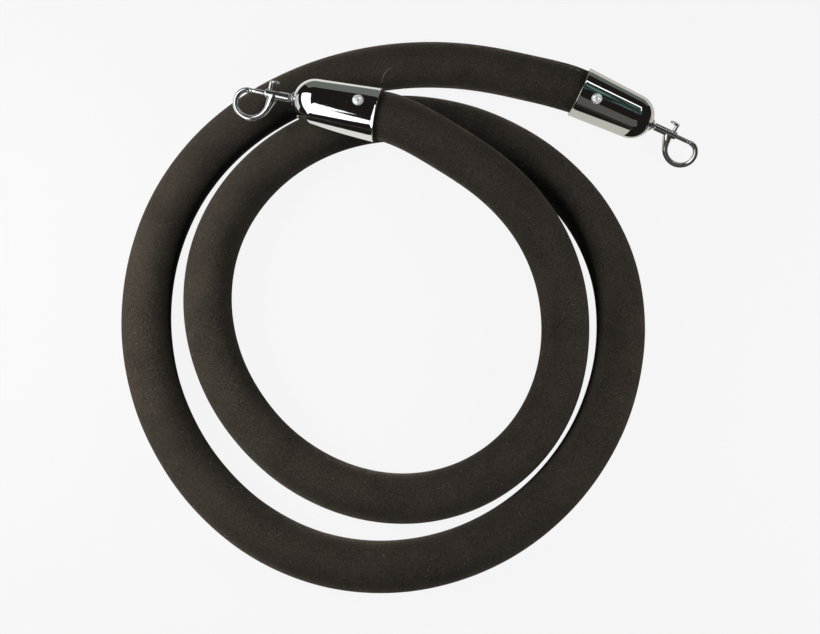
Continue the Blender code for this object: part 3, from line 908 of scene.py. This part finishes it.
def make_floor_and_tent():
    """A white floor that glows, a tent that lights the velvet, and a backdrop that only the camera sees."""
    h = FLOOR_HALF
    floor = bpy.data.meshes.new("floor")
    floor.from_pydata([(-h, -h, 0), (h, -h, 0), (h, h, 0), (-h, h, 0)], [], [(0, 1, 2, 3)])
    floor.materials.append(plain_finish("floor", (FLOOR_GREY,) * 3, 30, FLOOR_GLOW))
    staged("floor", floor, ("glossy", "diffuse"))

    down = np.linspace(0, math.pi, 25)[:, None]
    turn = np.linspace(0, 2 * math.pi, 48, endpoint=False)
    ring = np.stack([np.cos(turn), np.sin(turn), np.ones(len(turn))], axis=-1)
    sphere = ring * np.concatenate([np.sin(down), np.sin(down), np.cos(down)], axis=1)[:, None]
    tent = surface("tent", TENT_R * sphere)
    backdrop = tent.copy()
    tent.materials.append(glow("tent", WHITE, TENT_GLOW))
    backdrop.materials.append(glow("backdrop", WHITE, BACKDROP_GLOW))
    staged("tent", tent, ("glossy", "camera"))
    staged("backdrop", backdrop, ("glossy", "diffuse", "shadow", "transmission"))


def make_light(name, place, aim, power):
    """A square lamp that shines from its place towards its aim and isn't seen in polished metal."""
    data = bpy.data.lights.new(name, "AREA")
    data.size = LIGHT_SIZE
    data.energy = power
    data.spread = LIGHT_SPREAD
    lamp = bpy.data.objects.new(name, data)
    bpy.context.scene.collection.objects.link(lamp)
    lamp.location = place
    lamp.rotation_euler = (Vector(aim) - Vector(place)).to_track_quat("-Z", "Y").to_euler()
    lamp.visible_glossy = False


def make_cards():
    """What the polished metal reflects: the white table, windows at the near and left sides, dim walls,
    and a bright strip under a patchy ceiling."""
    level_card("table_left", UNDER_TABLE, (-0.35, 0.05), (0.036, 0.5), (1.0, 0.985, 0.92), 0.82)
    level_card("table_middle", UNDER_TABLE, (0.05, 0.165), (0.058, 0.5), WARM_TABLE, 0.56)
    level_card("table_right", UNDER_TABLE, (0.165, 0.42), (0.155, 0.5), WARM_TABLE, 0.56)
    near_low, near_high = (-0.62, -0.9, 0.08), (-0.62, -0.9, 1.16)
    card("near_window", [near_low, (-0.30, -0.9, 0.52), (-0.30, -0.9, 0.60), near_high], WINDOW, 1.6)
    card("corner_window", [(-1.0, -1.05, 0.30), near_low, near_high, (-0.55, -0.95, 1.1)], WINDOW, 1.6)
    wall_low, wall_high = [(-1.2, -0.3, -0.5), (-1.2, 0.6, -0.5)], [(-1.2, 0.6, 0.12), (-1.2, -0.3, 0.12)]
    card("left_wall", wall_low + wall_high, WHITE, 0.7)
    upright_card("near_wall", NEAR_WALL_Y, (-0.21, 0.6), (0.2, 1.1), (1.0, 0.93, 0.84), 0.10)
    upright_card("far_wall_left", FAR_WALL_Y, (-0.9, 0.22), (-0.4, 0.9), (0.92, 1.0, 0.88), 0.16)
    upright_card("far_wall_right", FAR_WALL_Y, (0.22, 1.6), (-0.04, 0.6), (0.84, 1.0, 0.86), 0.13)
    upright_card("far_floor_right", FAR_WALL_Y, (0.22, 1.6), (-0.6, -0.04), (0.94, 1.0, 0.95), 0.78)
    left_low = [(-1.0, -1.05, 0.36), (-1.0, 0.55, 0.45)]
    left_high = [(-0.55, 0.55, 1.35), (-0.55, -0.95, 1.35)]
    card("left_window", left_low + left_high, WHITE, 1.5)
    level_card("strip", STRIP_Z, (-0.1, 0.85), (0.62, 0.74), WHITE, 1.6)
    level_card("strip_end", STRIP_Z, (0.77, 0.87), (0.30, 0.62), WHITE, 1.6)
    blotches(level_card("ceiling", CEILING_Z, (-0.2, 1.3), (-0.25, 0.62), WHITE, 1.0))


# ---- the whole object -------------------------------------------------------------------------
make_camera()
velvet = velvet_finish()
chrome = chrome_finish("chrome", waviness=0.00002, haze=0.03, polish=0.025, metallic=1.0)
cast_chrome = chrome_finish("cast_chrome", waviness=0.00001, haze=0.05, polish=0.09, metallic=0.98)
screw_plate = chrome_finish("screw_plate", waviness=0.00001, haze=0.05, polish=0.22, metallic=0.5)
finishes = {
    "velvet": velvet,
    "chrome": chrome,
    "zinc_steel": zinc_finish(),
    "plug_wood": wood_finish(),
    "foam_core": foam_finish(),
}
for entry in frame["record"]["subparts"]:
    node = frame["nodes"][entry["node"]]
    node.data.materials.clear()
    node.data.materials.append(finishes[entry["material_slot"]])

line, level, upright = make_rope(velvet)
make_lint(line, level, upright, plain_finish("lint", (0.45, 0.41, 0.36), 800))
for letter, end in ENDS.items():
    make_ferrule(letter, end, chrome)
    for number, turn in ((1, 0.0), (2, 180.0)):
        make_screw(letter, number, end, turn, screw_plate)
    make_cone(letter, end, cast_chrome)
    snap_frame = turned_matrix(end, end["ring"], SNAP_Z)
    make_snap_body(letter, snap_frame, cast_chrome)
    make_bolt(letter, snap_frame, cast_chrome)
    make_thumb_stud(letter, snap_frame, cast_chrome)
    let_spring_shorten(letter)
make_world()
make_floor_and_tent()
make_light("key", (-0.66, -0.04, 0.46), (-0.3, -0.02, 0), 3.8)
make_light("right_fill", (0.85, -0.08, 0.42), (0.3, -0.04, 0), 2.6)
make_cards()
